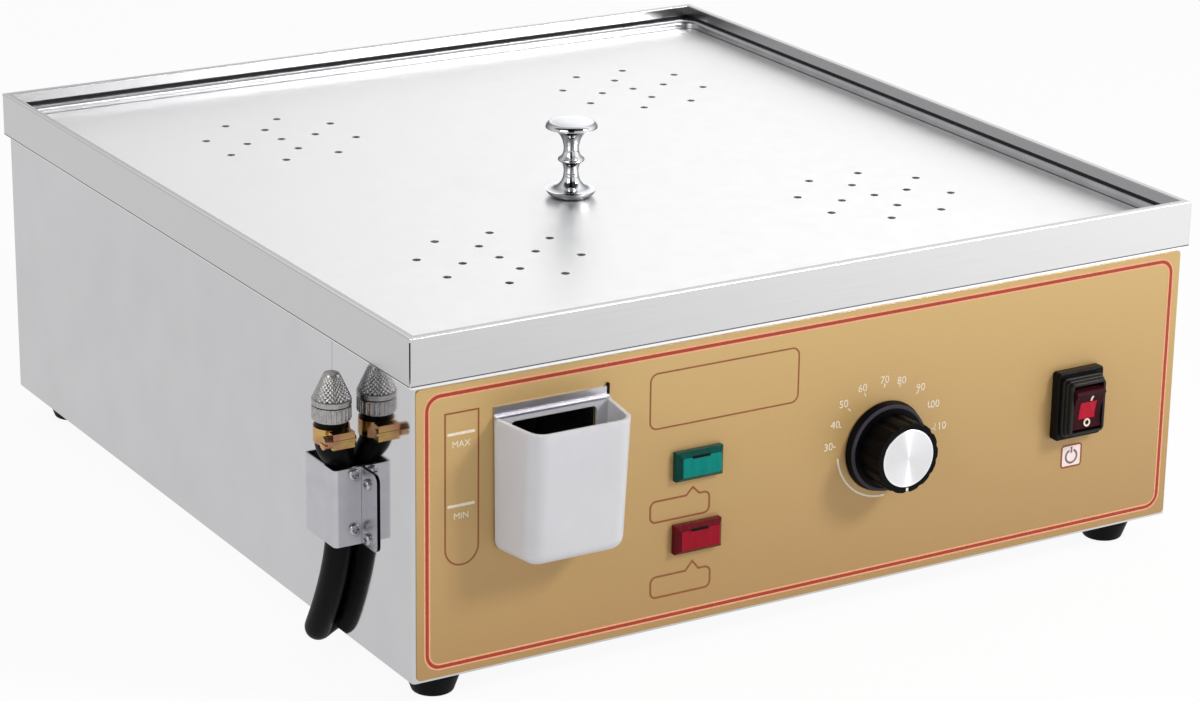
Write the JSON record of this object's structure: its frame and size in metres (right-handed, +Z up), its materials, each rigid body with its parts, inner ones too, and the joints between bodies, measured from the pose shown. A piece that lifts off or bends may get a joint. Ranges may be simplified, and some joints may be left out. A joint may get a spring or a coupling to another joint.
{
  "type": "electric bun steamer",
  "caption": "Low stainless countertop steamer: water tank under a drilled lift-out plate, gold control panel with thermostat, lamps, rocker switch and fill cup, drain hose on the side.",
  "frame": {"origin": "middle of the whole object's plan, on the plane that the feet stand on", "axes": "+X to the right along the front panel, +Y from the front to the back, +Z up"},
  "size_m": [0.5427, 0.6044, 0.2484],
  "materials": {
    "polished_steel": "polished",
    "brushed_steel": "brushed",
    "satin_steel": "satin",
    "screw_steel": "zinc plated",
    "chrome": "polished",
    "spun_aluminium": "spun",
    "gold_overlay": "satin",
    "black_plastic": "moulded",
    "black_rubber": "moulded",
    "black_silicone": "moulded",
    "white_plastic": "translucent",
    "green_lens": "translucent",
    "red_lens": "translucent",
    "red_rocker": "translucent",
    "plated_clamp": "yellow zinc",
    "brass": "turned",
    "copper": "drawn",
    "heater_steel": "satin",
    "beige_ceramic": "moulded",
    "red_wire": "extruded"
  },
  "bodies": {
    "root": {"outer_casing": "polished_steel", "back_cover": "brushed_steel", "casing_screws": "screw_steel", "base_plate": "brushed_steel", "foot_front_left": "black_rubber", "foot_front_right": "black_rubber", "foot_back_left": "black_rubber", "foot_back_right": "black_rubber", "foot_screws": "screw_steel", "foot_nuts": "screw_steel", "top_frame": "satin_steel", "tank_seal": "black_silicone", "water_tank": "satin_steel", "tank_rivets": "screw_steel", "front_overlay": "gold_overlay", "fill_cup": "white_plastic", "cup_gasket": "black_silicone", "cup_hanger": "satin_steel", "cup_studs": "screw_steel", "cup_nuts": "screw_steel", "fill_duct": "satin_steel", "thermostat_body": "beige_ceramic", "thermostat_screws": "screw_steel", "thermostat_bulb": "copper", "bulb_gland": "brass", "switch_housing": "black_plastic", "switch_boot": "black_plastic", "green_lamp_lens": "green_lens", "red_lamp_lens": "red_lens", "lamp_bodies": "black_plastic", "tank_ledge": "satin_steel", "hose_guard": "satin_steel", "guard_angle": "satin_steel", "guard_screws": "screw_steel", "drain_hose": "black_rubber", "hose_end_fitting": "chrome", "hose_clamp": "plated_clamp", "hose_clamp_screw": "plated_clamp", "lower_hose_clip": "plated_clamp", "drain_elbow": "satin_steel", "drain_nut": "brass", "drain_gasket": "black_silicone", "heater_element": "heater_steel", "heater_nuts": "brass", "heater_gaskets": "black_silicone", "heater_supports": "satin_steel", "terminal_block": "beige_ceramic", "wiring": "red_wire", "cable_gland": "black_plastic", "gland_nut": "black_plastic", "earth_stud": "brass"},
    "lift_plate": {"steam_plate": "satin_steel", "plate_stiffeners": "satin_steel", "plate_knob": "chrome", "plate_knob_screw": "screw_steel"},
    "control_knob": {"knob_body": "black_plastic", "knob_cap": "spun_aluminium", "thermostat_shaft": "screw_steel"},
    "rocker": {"switch_rocker": "red_rocker"},
    "end_cap": {"hose_end_cap": "chrome"}
  },
  "joints": [
    {"name": "plate_lift", "type": "slide", "parent": "root", "child": "lift_plate", "axis": [0, 0, 1], "range_m": [0, 0.2]},
    {"name": "knob_turn", "type": "hinge", "parent": "root", "child": "control_knob", "pos_m": [0.0568, -0.2706, 0.1004], "axis": [0, -1, 0], "range_deg": [-270, 0]},
    {"name": "rocker_tilt", "type": "hinge", "parent": "root", "child": "rocker", "pos_m": [0.1925, -0.2707, 0.1037], "axis": [-1, 0, 0], "range_deg": [0, 20]},
    {"name": "cap_pull", "type": "slide", "parent": "root", "child": "end_cap", "axis": [0, -0.0286, 0.9996], "range_m": [0, 0.024]}
  ]
}
